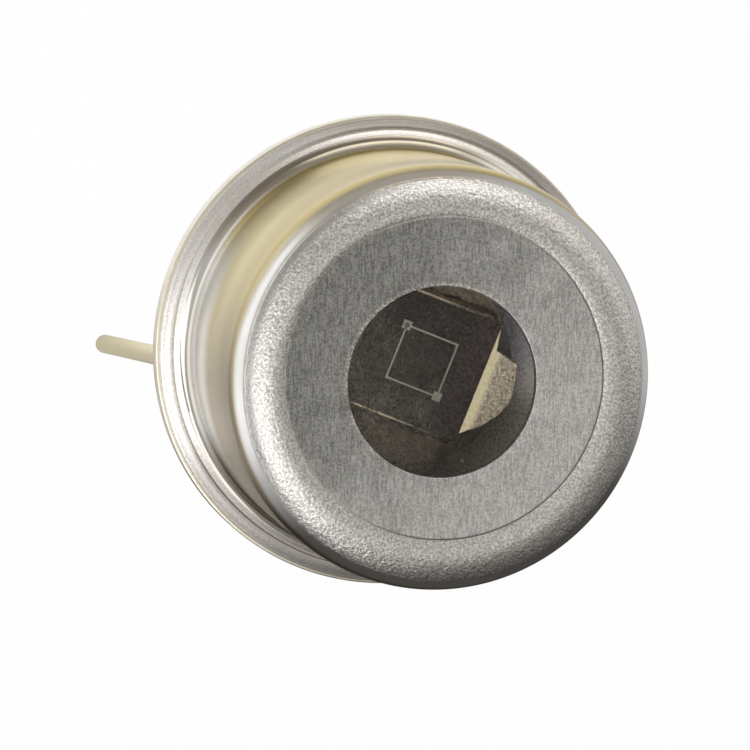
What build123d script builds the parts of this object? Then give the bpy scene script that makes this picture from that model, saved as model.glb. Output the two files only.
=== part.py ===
from build123d import *
import math
import os

# A two-lead ultraviolet photodiode in a hermetic metal can with a flat window.
# Millimetres. +Z is the optical axis, out of the window; the origin is the centre
# of the seating plane under the header's rim; +X runs from one lead to the other.

# ---- Header: a gold-plated stamping that carries everything ----
rim_thickness = 0.40          # the thin flange that the cap is welded to
rim_margin = 0.07             # how far the rim shows outside the cap's flange
rim_edge_break = 0.05
platform_height = 1.60        # top of the raised middle, above the seating plane
platform_clearance = 0.12     # platform to the cap's inner wall
platform_edge_break = 0.10
recess_depth = 0.30           # pressed hollow under the platform
recess_margin = 0.21          # hollow's wall, outside the lead glass
tab_length = 0.74             # index tab, measured out from the rim
tab_width = 0.80
tab_corner_round = 0.12
tab_azimuth = -45.0

# ---- Cap: one sheet, drawn, with a punched aperture ----
sheet = 0.25
wall_radius = 3.97            # outside of the barrel
flange_width = 0.56           # barrel to the flange's outer edge
foot_round = 0.17             # barrel into flange
imprint_margin = 0.03         # flat left between the foot and the weld imprint
imprint_depth = 0.04          # step pressed by the welding electrode
imprint_slope = 0.03
shoulder_round = 0.85         # the rolled shoulder at the front
face_height = 5.90            # flat front face, above the seating plane
bead_rise = 0.03              # the shoulder's crest stands proud of the face
bead_slope = 0.04
aperture_radius = 1.77
aperture_at = (-0.10, 0.03)   # punched a little off the axis
aperture_edge_break = 0.04

# ---- Weld between the two flanges ----
weld_height = 0.03
weld_width = 0.20
weld_inset = 0.24             # weld's outer edge, inside the cap flange's edge

# ---- Window, fused to the inside of the cap ----
window_thickness = 0.90
window_edge_chamfer = 0.08
seal_width = 0.20
seal_drop = 0.55              # how far the glass seal runs down the window's edge

# ---- Leads ----
pin_circle_radius = 2.54
lead_radius = 0.205
lead_length = 13.5            # seating plane to tip, along the lead
lead_end_break = 0.10
bend_drop = 1.10              # seating plane to the start of the anode lead's bend
bend_radius = 1.60
splay_angle = 6.4             # how far the anode lead leans out
splay_azimuth = 193.0         # the way it leans
post_rise = 1.05              # top of the anode post, above the platform
lead_head_radius = 0.42       # flat head that takes the bond wire or the braze
post_head_thickness = 0.12
bead_glass_radius = 0.55      # glass seal around the anode lead
bead_glass_sink = 0.05        # glass stops short of the metal at both ends
case_head_thickness = 0.20    # flat head that the case lead is brazed on by
braze_width = 0.18            # fillet round that head
braze_height = 0.15

# ---- Chip stack ----
pedestal_post_gap = 0.17      # pedestal's wall to the post's head
pedestal_height = 1.00
pedestal_edge_break = 0.05
pedestal_braze = 0.05
chip_side = 2.40
chip_thickness = 0.35
chip_at = (0.12, 0.06)        # set down a little off the axis
chip_turn = -36.6
die_attach = 0.05             # solder under the chip
solder_spread = 0.16          # solder squeezed out beside the chip
solder_climb = 0.16           # how far it climbs the chip's sides
solder_skew = 3.0             # the squeezed-out solder isn't square to the chip

# ---- Contact metal and bond wire ----
ring_side = 1.10
ring_line = 0.04
contact_thickness = 0.025
pad_side = 0.20
wire_radius = 0.015
ball_radius = 0.045
ball_height = 0.03
loop_rise = 0.32              # wire's highest point, above the chip
stitch_length = 0.16          # wire pressed flat on to the post

# ---- Heights and radii that follow ----
cap_bottom = rim_thickness + weld_height
flange_top = cap_bottom + sheet
inner_wall_radius = wall_radius - sheet
cap_flange_radius = wall_radius + flange_width
rim_radius = cap_flange_radius + rim_margin
platform_radius = inner_wall_radius - platform_clearance
recess_radius = pin_circle_radius + bead_glass_radius + recess_margin
ceiling_height = face_height - sheet
ceiling_radius = wall_radius - shoulder_round
face_radius = ceiling_radius - bead_slope
window_radius = ceiling_radius - seal_width
window_bottom = ceiling_height - window_thickness
pedestal_radius = pin_circle_radius - lead_head_radius - pedestal_post_gap
pedestal_bottom = platform_height + pedestal_braze
pedestal_top = pedestal_bottom + pedestal_height
chip_bottom = pedestal_top + die_attach
chip_top = chip_bottom + chip_thickness
contact_top = chip_top + contact_thickness
post_top = platform_height + post_rise

chip_plane = Plane((*chip_at, 0), x_dir=Vector(1, 0, 0).rotate(Axis.Z, chip_turn), z_dir=(0, 0, 1))
anode_at = (-pin_circle_radius, 0)
cathode_at = (pin_circle_radius, 0)


def corner(sketch, radius, height):
    """The sketch's vertex nearest to a radius and a height."""
    return sketch.vertices().sort_by_distance((radius, height, 0))[0]


# ---- Header ----
with BuildPart() as header:
    with BuildSketch(Plane.XZ) as header_section:
        Polygon(
            (0, recess_depth),
            (recess_radius, recess_depth),
            (recess_radius, 0),
            (rim_radius, 0),
            (rim_radius, rim_thickness),
            (platform_radius, rim_thickness),
            (platform_radius, platform_height),
            (0, platform_height),
            align=None,
        )
        chamfer(corner(header_section, rim_radius, 0), rim_edge_break)
        chamfer(corner(header_section, rim_radius, rim_thickness), rim_edge_break)
        chamfer(corner(header_section, platform_radius, platform_height), platform_edge_break)
    revolve(axis=Axis.Z)
    with BuildSketch(Plane.XY):
        with PolarLocations(rim_radius, 1, start_angle=tab_azimuth):
            Rectangle(2 * tab_length, tab_width)
        Circle(platform_radius, mode=Mode.SUBTRACT)
    extrude(amount=rim_thickness)
    tab_corners = header.edges().filter_by(Axis.Z).sort_by(SortBy.DISTANCE)[-2:]
    fillet(tab_corners, tab_corner_round)
    with BuildSketch(Plane.XY.offset(recess_depth)):
        with Locations(anode_at):
            Circle(bead_glass_radius)
    extrude(amount=platform_height - recess_depth, mode=Mode.SUBTRACT)
header.part.label = "header"

# ---- Cap ----
with BuildPart() as cap:
    with BuildSketch(Plane.XZ) as cap_section:
        imprint_radius = wall_radius + foot_round + imprint_margin
        Polygon(
            (0, ceiling_height),
            (0, face_height),
            (face_radius, face_height),
            (face_radius + bead_slope / 2, face_height + bead_rise),
            (wall_radius, face_height + bead_rise),
            (wall_radius, flange_top),
            (imprint_radius, flange_top),
            (imprint_radius + imprint_slope, flange_top - imprint_depth),
            (cap_flange_radius, flange_top - imprint_depth),
            (cap_flange_radius, cap_bottom),
            (inner_wall_radius, cap_bottom),
            (inner_wall_radius, ceiling_height),
            align=None,
        )
        fillet(corner(cap_section, wall_radius, face_height + bead_rise), shoulder_round)
        fillet(corner(cap_section, wall_radius, flange_top), foot_round)
        # inside the foot a flat that just touches the round which keeps the sheet's thickness
        inner_foot_break = (foot_round + sheet) * (2 - math.sqrt(2))
        chamfer(corner(cap_section, inner_wall_radius, cap_bottom), inner_foot_break)
        fillet(corner(cap_section, inner_wall_radius, ceiling_height), shoulder_round - sheet)
    revolve(axis=Axis.Z)
    with BuildSketch(Plane.XY.offset(ceiling_height)):
        with Locations(aperture_at):
            Circle(aperture_radius)
    extrude(amount=sheet, mode=Mode.SUBTRACT)
    aperture_edges = cap.edges(Select.LAST).filter_by(GeomType.CIRCLE)
    chamfer(aperture_edges.sort_by(Axis.Z)[-1], aperture_edge_break)
cap.part.label = "cap"

# ---- Weld ring, melted between the rim and the cap's flange ----
with BuildPart() as weld_ring:
    with BuildSketch(Plane.XY.offset(rim_thickness)):
        weld_outer_radius = cap_flange_radius - weld_inset
        Circle(weld_outer_radius)
        Circle(weld_outer_radius - weld_width, mode=Mode.SUBTRACT)
    extrude(amount=weld_height)
weld_ring.part.label = "weld_ring"

# ---- Window disc ----
with BuildPart() as window:
    with BuildSketch(Plane.XY.offset(window_bottom)):
        Circle(window_radius)
    extrude(amount=window_thickness)
    chamfer(window.faces().sort_by(Axis.Z)[0].edges(), window_edge_chamfer)
window.part.label = "window"

# ---- Glass seal: a fillet of frit between the window's edge and the cap ----
with BuildPart() as window_seal:
    with BuildSketch(Plane.XZ):
        Polygon(
            (window_radius, ceiling_height - seal_drop),
            (window_radius, ceiling_height),
            (window_radius + seal_width, ceiling_height),
            align=None,
        )
    revolve(axis=Axis.Z)
window_seal.part.label = "window_seal"

# ---- Anode lead: nail-headed post, straight through the glass, then splayed ----
splay_way = Vector(1, 0, 0).rotate(Axis.Z, splay_azimuth)
splay_plane = Plane(
    origin=(*anode_at, 0),
    x_dir=splay_way,
    z_dir=splay_way.cross(Vector(0, 0, 1)),
)
bend_arc_length = bend_radius * math.radians(splay_angle)
splayed_length = lead_length - bend_drop - bend_arc_length
with BuildPart() as anode_lead:
    with BuildLine(splay_plane) as anode_path:
        post = Line((0, post_top), (0, -bend_drop))
        bend = JernArc(post @ 1, (0, -1), bend_radius, splay_angle)
        Line(bend @ 1, bend @ 1 + (bend % 1) * splayed_length)
    with BuildSketch(Plane.XY.offset(post_top)):
        with Locations(anode_at):
            Circle(lead_radius)
    sweep(path=anode_path.line)
    lead_tip = anode_lead.faces().sort_by(Axis.Z)[0]
    chamfer(lead_tip.edges(), lead_end_break)
    with BuildSketch(Plane.XY.offset(post_top - post_head_thickness)):
        with Locations(anode_at):
            Circle(lead_head_radius)
    extrude(amount=post_head_thickness)
anode_lead.part.label = "anode_lead"

# ---- Glass bead that insulates the anode lead from the header ----
with BuildPart() as anode_bead:
    bead_bottom = recess_depth + bead_glass_sink
    with BuildSketch(Plane.XY.offset(bead_bottom)):
        with Locations(anode_at):
            Circle(bead_glass_radius)
            Circle(lead_radius, mode=Mode.SUBTRACT)
    extrude(amount=platform_height - bead_glass_sink - bead_bottom)
anode_bead.part.label = "anode_bead"

# ---- Cathode lead: a flat head brazed into the header's hollow ----
with BuildPart() as cathode_lead:
    with BuildSketch(Plane.XY.offset(recess_depth)):
        with Locations(cathode_at):
            Circle(lead_radius)
    extrude(amount=-(lead_length + recess_depth))
    chamfer(cathode_lead.faces().sort_by(Axis.Z)[0].edges(), lead_end_break)
    with BuildSketch(Plane.XY.offset(recess_depth)):
        with Locations(cathode_at):
            Circle(lead_head_radius)
    extrude(amount=-case_head_thickness)
cathode_lead.part.label = "cathode_lead"

with BuildPart() as cathode_braze:
    with BuildSketch(Plane.XZ):
        head_edge = pin_circle_radius + lead_head_radius
        Polygon(
            (head_edge, recess_depth - braze_height),
            (head_edge, recess_depth),
            (head_edge + braze_width, recess_depth),
            align=None,
        )
    revolve(axis=Axis((pin_circle_radius, 0, 0), (0, 0, 1)))
cathode_braze.part.label = "cathode_braze"

# ---- Pedestal and the braze that holds it to the platform ----
with BuildPart() as pedestal:
    with BuildSketch(Plane.XY.offset(pedestal_bottom)):
        Circle(pedestal_radius)
    extrude(amount=pedestal_height)
    chamfer(pedestal.faces().sort_by(Axis.Z)[-1].edges(), pedestal_edge_break)
pedestal.part.label = "pedestal"

with BuildPart() as pedestal_braze_ring:
    with BuildSketch(Plane.XY.offset(platform_height)):
        Circle(pedestal_radius)
    extrude(amount=pedestal_braze)
pedestal_braze_ring.part.label = "pedestal_braze"

# ---- Chip ----
with BuildPart() as chip:
    with BuildSketch(chip_plane.offset(chip_bottom)):
        Rectangle(chip_side, chip_side)
    extrude(amount=chip_thickness)
chip.part.label = "chip"

# ---- Die attach: solder under the chip, climbing its sides ----
with BuildPart() as die_attach_solder:
    with BuildSketch(chip_plane.offset(pedestal_top)):
        spread_side = chip_side + 2 * solder_spread
        Rectangle(spread_side, spread_side, rotation=solder_skew)
    with BuildSketch(chip_plane.offset(chip_bottom + solder_climb)):
        Rectangle(chip_side, chip_side)
    loft()
    with BuildSketch(chip_plane.offset(chip_bottom)):
        Rectangle(chip_side, chip_side)
    extrude(amount=chip_thickness, mode=Mode.SUBTRACT)
    with BuildSketch(Plane.XY.offset(pedestal_top)):
        Circle(pedestal_radius - pedestal_edge_break)
    extrude(amount=die_attach + solder_climb, mode=Mode.INTERSECT)
die_attach_solder.part.label = "die_attach"

# ---- Contact ring with a bond pad at two opposite corners ----
with BuildPart() as contact_ring:
    with BuildSketch(chip_plane.offset(chip_top)):
        Rectangle(ring_side, ring_side)
        Rectangle(ring_side - 2 * ring_line, ring_side - 2 * ring_line, mode=Mode.SUBTRACT)
        pad_at = ring_side / 2 - ring_line / 2
        with Locations((-pad_at, pad_at), (pad_at, -pad_at)):
            Rectangle(pad_side, pad_side)
    extrude(amount=contact_thickness)
contact_ring.part.label = "contact_ring"

# ---- Bond wire: ball on the pad, a loop, and a stitch on the anode post ----
pad_centre = chip_plane.from_local_coords(Vector(-pad_at, pad_at, 0))
to_post = Vector(*anode_at, 0) - pad_centre
wire_plane = Plane(
    origin=(pad_centre.X, pad_centre.Y, 0),
    x_dir=to_post.normalized(),
    z_dir=to_post.normalized().cross(Vector(0, 0, 1)),
)
with BuildPart() as bond_wire:
    with BuildSketch(Plane.XY.offset(contact_top)):
        with Locations((pad_centre.X, pad_centre.Y)):
            Circle(ball_radius)
    extrude(amount=ball_height)
    with BuildLine(wire_plane) as wire_path:
        wire_foot = (0, contact_top + ball_height / 2)
        wire_crest = (to_post.length * 0.3, chip_top + loop_rise)
        stitch_at = (to_post.length - stitch_length / 2, post_top + wire_radius)
        stitch_end = (to_post.length + stitch_length / 2, post_top + wire_radius)
        FilletPolyline(
            wire_foot,
            (0, chip_top + loop_rise),
            wire_crest,
            stitch_at,
            stitch_end,
            radius=4 * wire_radius,
        )
    with BuildSketch(Plane.XY.offset(contact_top + ball_height / 2)):
        with Locations((pad_centre.X, pad_centre.Y)):
            Circle(wire_radius)
    sweep(path=wire_path.line)
bond_wire.part.label = "bond_wire"

# ---- One STEP file for each piece ----
pieces = [
    header,
    cap,
    weld_ring,
    window,
    window_seal,
    anode_lead,
    anode_bead,
    cathode_lead,
    cathode_braze,
    pedestal,
    pedestal_braze_ring,
    chip,
    die_attach_solder,
    contact_ring,
    bond_wire,
]
os.makedirs("parts", exist_ok=True)
for piece in pieces:
    export_step(piece.part, f"parts/{piece.part.label}.step")
    print(piece.part.label, round(piece.part.volume, 5))
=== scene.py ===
# %% [markdown]
# # An ultraviolet photodiode in a metal can
# The solids of the part are already made and packed. This notebook gives them their looks:
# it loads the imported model, lays finer turned pieces over the solids whose curves show,
# paints every surface, and sets up a floor, soft lamps and a camera.
# Blender works in metres here, and the part is only nine millimetres wide, so sizes are
# written in millimetres and multiplied by `mm`.

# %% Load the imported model
import math

import bmesh
import bpy
import numpy as np
from mathutils import Matrix, Vector, noise


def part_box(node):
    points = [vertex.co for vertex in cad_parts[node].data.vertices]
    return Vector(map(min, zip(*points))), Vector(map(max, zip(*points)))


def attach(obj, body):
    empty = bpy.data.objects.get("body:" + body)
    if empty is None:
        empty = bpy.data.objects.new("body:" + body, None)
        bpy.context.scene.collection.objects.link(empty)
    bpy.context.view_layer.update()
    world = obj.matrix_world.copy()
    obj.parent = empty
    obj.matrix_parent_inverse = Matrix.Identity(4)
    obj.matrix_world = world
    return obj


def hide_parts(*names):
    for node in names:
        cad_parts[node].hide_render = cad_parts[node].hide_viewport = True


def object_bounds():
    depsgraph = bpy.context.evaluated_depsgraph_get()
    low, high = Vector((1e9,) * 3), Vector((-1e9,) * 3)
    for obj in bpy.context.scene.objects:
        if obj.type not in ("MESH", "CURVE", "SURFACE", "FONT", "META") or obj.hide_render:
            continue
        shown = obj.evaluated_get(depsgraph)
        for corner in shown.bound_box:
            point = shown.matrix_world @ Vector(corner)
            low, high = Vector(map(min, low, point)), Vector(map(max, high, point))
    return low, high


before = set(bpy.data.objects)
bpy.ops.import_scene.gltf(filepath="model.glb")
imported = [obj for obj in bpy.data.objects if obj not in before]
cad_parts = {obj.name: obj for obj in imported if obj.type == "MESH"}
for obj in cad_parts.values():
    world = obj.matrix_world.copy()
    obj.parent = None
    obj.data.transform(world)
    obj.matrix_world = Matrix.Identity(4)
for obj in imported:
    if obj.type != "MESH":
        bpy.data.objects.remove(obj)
cad_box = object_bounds()
mm = 0.001
print("nodes:", sorted(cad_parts))

# %% [markdown]
# ## Shader maths that reads like maths
# A finish is a formula: "darker where the radius is large and the noise is high". Blender
# spells such a formula as dozens of linked nodes. One small class around a socket lets
# Python spell it as an expression instead: `1 - mask` adds a Math node and hands back its
# output. Everything that isn't plain arithmetic goes through one method, `Paint.node`.

# %% A socket that can be added, multiplied and mixed


class Wire:
    """An output socket in a paint's node tree. Arithmetic on it adds Math nodes."""

    def __init__(self, paint, socket):
        self.paint = paint
        self.socket = socket

    def _math(self, operation, *values):
        return self.paint.node("ShaderNodeMath", {"operation": operation}, dict(enumerate(values)))

    def __add__(self, other):
        return self._math("ADD", self, other)

    def __sub__(self, other):
        return self._math("SUBTRACT", self, other)

    def __rsub__(self, other):
        return self._math("SUBTRACT", other, self)

    def __mul__(self, other):
        return self._math("MULTIPLY", self, other)

    def __truediv__(self, other):
        return self._math("DIVIDE", self, other)

    def __rtruediv__(self, other):
        return self._math("DIVIDE", other, self)

    def __neg__(self):
        return self._math("MULTIPLY", self, -1.0)

    def __abs__(self):
        return self._math("ABSOLUTE", self)

    __radd__ = __add__
    __rmul__ = __mul__

    def least(self, other):
        """The smaller of two values."""
        return self._math("MINIMUM", self, other)

    def most(self, other):
        """The larger of two values. On masks it is their union."""
        return self._math("MAXIMUM", self, other)

    def rise(self, low, high):
        """0 below `low`, 1 above `high`, with a smooth step between them."""
        settings = {"interpolation_type": "SMOOTHSTEP"}
        inputs = {"Value": self, "From Min": low, "From Max": high}
        return self.paint.node("ShaderNodeMapRange", settings, inputs)

    def fall(self, low, high):
        """1 below `low`, 0 above `high`."""
        return 1 - self.rise(low, high)


# %% [markdown]
# ## A paint
# A material is a tree of nodes that ends in an output. The world's light is one too, so the
# same class makes both. Besides `node` it has a few methods for what every finish asks for:
# where a point is, noise, a mix of two colours, a bump, and the shader that ends it all.

# %% A paint: one material, or the world, and the nodes in it


class Paint:
    """A material or a world under construction."""

    def __init__(self, name, world=False):
        shelf = bpy.data.worlds if world else bpy.data.materials
        self.block = shelf.new(name)
        self.block.use_nodes = True
        self.tree = self.block.node_tree
        self.tree.nodes.clear()
        self.outlet = "ShaderNodeOutputWorld" if world else "ShaderNodeOutputMaterial"

    def node(self, kind, settings=None, inputs=None, output=0):
        """Any node: its type, then its settings, then the values or links of its sockets."""
        made = self.tree.nodes.new(kind)
        for key, value in (settings or {}).items():
            setattr(made, key, value)
        for key, value in (inputs or {}).items():
            if isinstance(value, Wire):
                self.tree.links.new(value.socket, made.inputs[key])
            else:
                made.inputs[key].default_value = value
        return Wire(self, made.outputs[output]) if made.outputs else None

    def place(self):
        """Where a point is on the part, in millimetres."""
        coordinates = self.node("ShaderNodeTexCoord", output="Object")
        return self.node("ShaderNodeVectorMath", {"operation": "SCALE"}, {0: coordinates, "Scale": 1 / mm})

    def outlets(self, kind, inputs=None):
        """Every output of a node, by its name."""
        made = self.node(kind, None, inputs).socket.node
        return {socket.name: Wire(self, socket) for socket in made.outputs}

    def parts(self, vector):
        """The x, y and z of a vector."""
        return list(self.outlets("ShaderNodeSeparateXYZ", {0: vector}).values())

    def stretch(self, vector, scale, turn=0.0):
        """The vector turned about Z by `turn` degrees and scaled along each axis."""
        settings = {"vector_type": "POINT"}
        inputs = {"Vector": vector, "Rotation": (0.0, 0.0, math.radians(turn))}
        turned = self.node("ShaderNodeMapping", settings, inputs)
        return self.node("ShaderNodeVectorMath", {"operation": "MULTIPLY"}, {0: turned, 1: scale})

    def off_axis(self, vector, centre=(0.0, 0.0)):
        """How far a point is from a vertical axis."""
        settings = {"operation": "SUBTRACT"}
        off = self.node("ShaderNodeVectorMath", settings, {0: vector, 1: (*centre, 0.0)})
        flat = self.stretch(off, (1.0, 1.0, 0.0))
        return self.node("ShaderNodeVectorMath", {"operation": "LENGTH"}, {0: flat}, "Value")

    def speckle(self, vector, scale, detail=2.0, rough=0.5):
        """Soft noise from 0 to 1."""
        inputs = {"Vector": vector, "Scale": scale, "Detail": detail, "Roughness": rough}
        return self.node("ShaderNodeTexNoise", None, inputs, "Fac")

    def cells(self, vector, scale):
        """Distance to the nearest of many scattered points."""
        inputs = {"Vector": vector, "Scale": scale}
        return self.node("ShaderNodeTexVoronoi", {"feature": "F1"}, inputs, "Distance")

    def mix(self, share, first, second):
        """A colour between two colours."""
        settings = {"data_type": "RGBA", "clamp_factor": True}
        colours = [c if isinstance(c, Wire) else (*c, 1.0) for c in (first, second)]
        return self.node("ShaderNodeMix", settings, {0: share, 6: colours[0], 7: colours[1]}, 2)

    def relief(self, height, depth):
        """A bumped normal. `height` runs from 0 to 1 and `depth` is in millimetres."""
        inputs = {"Height": height, "Distance": depth * mm, "Strength": 1.0}
        return self.node("ShaderNodeBump", None, inputs)

    def surface(self, inputs):
        """A Principled shader."""
        return self.node("ShaderNodeBsdfPrincipled", None, inputs)

    def blend(self, share, first, second):
        """A shader between two shaders."""
        return self.node("ShaderNodeMixShader", None, {0: share, 1: first, 2: second})

    def finish(self, shader):
        """Joins the shader to the output and hands back the material or the world."""
        self.node(self.outlet, None, {"Surface": shader})
        print(f"{self.block.name}: {len(self.tree.nodes)} nodes")
        return self.block


# %% [markdown]
# ## Turned pieces as stacks of rings
# Nearly everything in a metal can is turned or drawn round one axis. A Screw modifier could
# sweep a section, but here the aperture sits off the axis, the rim carries a tab and the
# shoulder is peened, so the rings aren't all alike. A loft does it all: each ring is a list
# of points, neighbouring rings are joined by quads, and a ring of one point closes an end.

# %% Loft a mesh through rings


def soften(mesh, sharp=35.0):
    """Smooth shading, in which edges of more than `sharp` degrees stay crisp."""
    mesh.shade_smooth()
    mesh.set_sharp_from_angle(angle=math.radians(sharp))


def loft(name, rings, loop=False, sharp=35.0):
    """A closed mesh through `rings`; with `loop` the last ring joins the first."""
    shape = bmesh.new()
    levels = [[shape.verts.new(point) for point in ring] for ring in rings]
    pairs = list(zip(levels, levels[1:]))
    if loop:
        pairs.append((levels[-1], levels[0]))
    for near, far in pairs:
        count = max(len(near), len(far))
        for i in range(count):
            j = (i + 1) % count
            corners = [near[i % len(near)], near[j % len(near)]]
            corners += [far[j % len(far)], far[i % len(far)]]
            shape.faces.new(list(dict.fromkeys(corners)))
    bmesh.ops.recalc_face_normals(shape, faces=shape.faces)
    mesh = bpy.data.meshes.new(name)
    shape.to_mesh(mesh)
    shape.free()
    piece = bpy.data.objects.new(name, mesh)
    bpy.context.scene.collection.objects.link(piece)
    soften(mesh, sharp)
    return piece


def dress(piece, material, slot, *nodes):
    """Gives a piece its material and says which solids it stands for."""
    piece.data.materials.clear()
    piece.data.materials.append(material)
    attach(piece, "root")
    if nodes:
        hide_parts(*nodes)
    print(f"{piece.name}: {len(piece.data.polygons)} faces, stands for {', '.join(nodes) or 'itself'}")
    return piece


# %% Rings, rounds, directions and the solids' corners


def level_ring(radius, height, centre=(0.0, 0.0), points=360):
    """A level circle, in millimetres, as points in metres."""
    turn = np.linspace(0, 2 * math.pi, points, endpoint=False)
    x = centre[0] + radius * np.cos(turn)
    y = centre[1] + radius * np.sin(turn)
    return np.column_stack([x, y, np.full(points, height)]) * mm


def round_over(centre, radius, start, stop, steps):
    """Section points (radius, height) on an arc, with angles in degrees from straight out."""
    angles = np.radians(np.linspace(start, stop, steps))
    return [(centre[0] + radius * math.cos(a), centre[1] + radius * math.sin(a)) for a in angles]


def straight(start, stop, steps):
    """Section points on a line, without its two ends."""
    shares = np.linspace(0, 1, steps + 2)[1:-1]
    return [tuple((1 - s) * a + s * b for a, b in zip(start, stop)) for s in shares]


def toward(azimuth, elevation=0.0):
    """The direction at an azimuth and an elevation, in degrees, as a vector of length one."""
    turn = math.radians(azimuth)
    lift = math.radians(elevation)
    return Vector((math.cos(lift) * math.cos(turn), math.cos(lift) * math.sin(turn), math.sin(lift)))


def low(node):
    """The lowest corner of a solid's box, in millimetres."""
    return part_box(node)[0] / mm


def high(node):
    """The highest corner of a solid's box, in millimetres."""
    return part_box(node)[1] / mm


print("the cap's highest corner:", [round(c, 2) for c in high("cap")])


# %% [markdown]
# ## The can
# The can is one nickel sheet, drawn into a cup: a flat face with a punched aperture, a
# rolled shoulder, a wall and a flange that is welded to the header. On the real part the
# shoulder is peened by tumbling, which leaves thousands of tiny dents that sparkle.
# Bump mapping could fake the dents, but it leaves the outline of every highlight smooth,
# so they are pressed into the mesh with cell noise, along the shoulder's own normal.

# %% The can's main sizes, read from the solids where they show them
flange_radius = high("cap").x
crest_height = high("cap").z
can_bottom = low("cap").z
ceiling_radius = high("window_seal").x
ceiling_height = high("window_seal").z
shoulder_round = 0.85
bead_rise = 0.03
wall_radius = ceiling_radius + shoulder_round
face_height = crest_height - bead_rise
sheet = face_height - ceiling_height
foot_round = 0.30
flange_top = can_bottom + sheet
aperture_radius = 1.77
aperture_at = (-0.10, 0.03)
print(f"can: wall radius {wall_radius:.2f} mm, sheet {sheet:.2f} mm, crest {crest_height:.2f} mm")

# %% The can's section: the aperture's edge, the crease and the shoulder
aperture_break = 0.02
face_radius = ceiling_radius - 0.11
shoulder_centre = (ceiling_radius, crest_height - shoulder_round)
shoulder_start = 81
peened_arc = 47.0

aperture_section = [
    (aperture_radius, ceiling_height),
    (aperture_radius, face_height - aperture_break),
    *round_over(
        (aperture_radius + aperture_break, face_height - aperture_break),
        aperture_break, 180, 90, 5,
    )[1:],
]
# The crease dips just outside the face, then swells into the shoulder: (outwards, up).
crease_profile = [(-0.030, 0.0), (-0.018, -0.010), (-0.002, -0.011), (0.015, 0.001),
                  (0.050, 0.009), (0.090, 0.016), (0.150, 0.022)]
shoulder_section = [(face_radius + out, face_height + up) for out, up in crease_profile]
shoulder_section += round_over(shoulder_centre, shoulder_round, shoulder_start, 90 - peened_arc, 30)
shoulder_section += round_over(shoulder_centre, shoulder_round, 90 - peened_arc, 0, 12)[1:]
print(f"face: radius {face_radius:.2f} mm, peened over {peened_arc:.0f} degrees of the shoulder")

# %% The can's section: the foot, and the flange with its pressed step and its droop
imprint_depth = 0.04
imprint_start = wall_radius + 0.20
flange_droop = 0.10
droop_power = 1.6
edge_round = 0.03

foot_centre = (wall_radius + foot_round, flange_top + foot_round)
foot_section = round_over(foot_centre, foot_round, 180, 244, 12)
# The step's profile: (outwards, up) from where it starts, on the flange's top.
step_profile = [(-0.010, 0.012), (0.0, 0.002), (0.030, -0.012), (0.060, -0.030),
                (0.090, -0.050), (0.110, -0.060), (0.125, -0.060), (0.140, -imprint_depth)]
flange_section = [(imprint_start + out, flange_top + up) for out, up in step_profile]
step_end = flange_section[-1][0]
flange_end = flange_radius - edge_round
for share in np.linspace(0, 1, 7)[1:]:
    flange_section.append((
        (1 - share) * step_end + share * flange_end,
        flange_top - imprint_depth - flange_droop * share ** droop_power,
    ))
flange_edge = flange_top - imprint_depth - flange_droop
flange_section += round_over((flange_end, flange_edge - edge_round), edge_round, 60, 0, 4)
flange_section += round_over((flange_end, can_bottom + edge_round), edge_round, 0, -90, 4)
print(f"flange: {flange_end - step_end:.2f} mm wide past its step, {flange_edge - can_bottom:.2f} mm thick")

# %% The can's section: the wall between them, and the way back along the inside
wall_section = straight(shoulder_section[-1], foot_section[0], 3)
inner_section = round_over(foot_centre, foot_round + sheet, 270, 180, 8)
inner_section += round_over(shoulder_centre, shoulder_round - sheet, 0, 90, 12)
print("section points:", len(shoulder_section) + len(foot_section) + len(inner_section))

# %% Peening: how deep the surface is dented at a point
dents_per_mm = 15.0
dent_depth = 0.0055
dent_reach = 0.55
swells_per_mm = 3.0
deepest = 2 * dent_depth
print(f"dents: about {1 / dents_per_mm:.2f} mm apart, at most {deepest * 1000:.0f} micrometres deep")


def dent(point, amount):
    """How far a point of the shoulder is pressed in, in millimetres."""
    distances = noise.voronoi(Vector(point) / mm * dents_per_mm)[0]
    bowl = max(0.0, 1.0 - (distances[0] / dent_reach) ** 2)
    swell = 0.5 + 0.5 * noise.noise(Vector(point) / mm * swells_per_mm)
    return amount * dent_depth * (bowl + swell)


def peen(ring, radius, height, amount):
    """Presses dents into a ring of the shoulder, along the shoulder's own normal."""
    out = max(0.0, radius - shoulder_centre[0])
    up = height - shoulder_centre[1]
    length = math.hypot(out, up)
    for point in ring:
        turn = math.atan2(point[1], point[0])
        depth = dent(point, amount) * mm
        point[0] -= depth * out / length * math.cos(turn)
        point[1] -= depth * out / length * math.sin(turn)
        point[2] -= depth * up / length
    return ring


# %% [markdown]
# ## Three centres
# A press and a punch never share one centre exactly. The aperture, the face and the step in
# the flange each sit a few hundredths of a millimetre off the axis. A lathe-like sweep
# couldn't do that. A stack of rings can: each ring gets a centre of its own, which slides
# from one feature's centre to the next's.

# %% Build the can
ring_points = 960
face_at = (-0.036, 0.080)
imprint_at = (0.012, 0.048)
face_fade = 0.28
imprint_fade = 0.25


def share_within(end, width, radius):
    """1 at `width` inside the radius `end` or further in, and 0 from `end` outwards."""
    return min(max((end - radius) / width, 0.0), 1.0)


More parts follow.
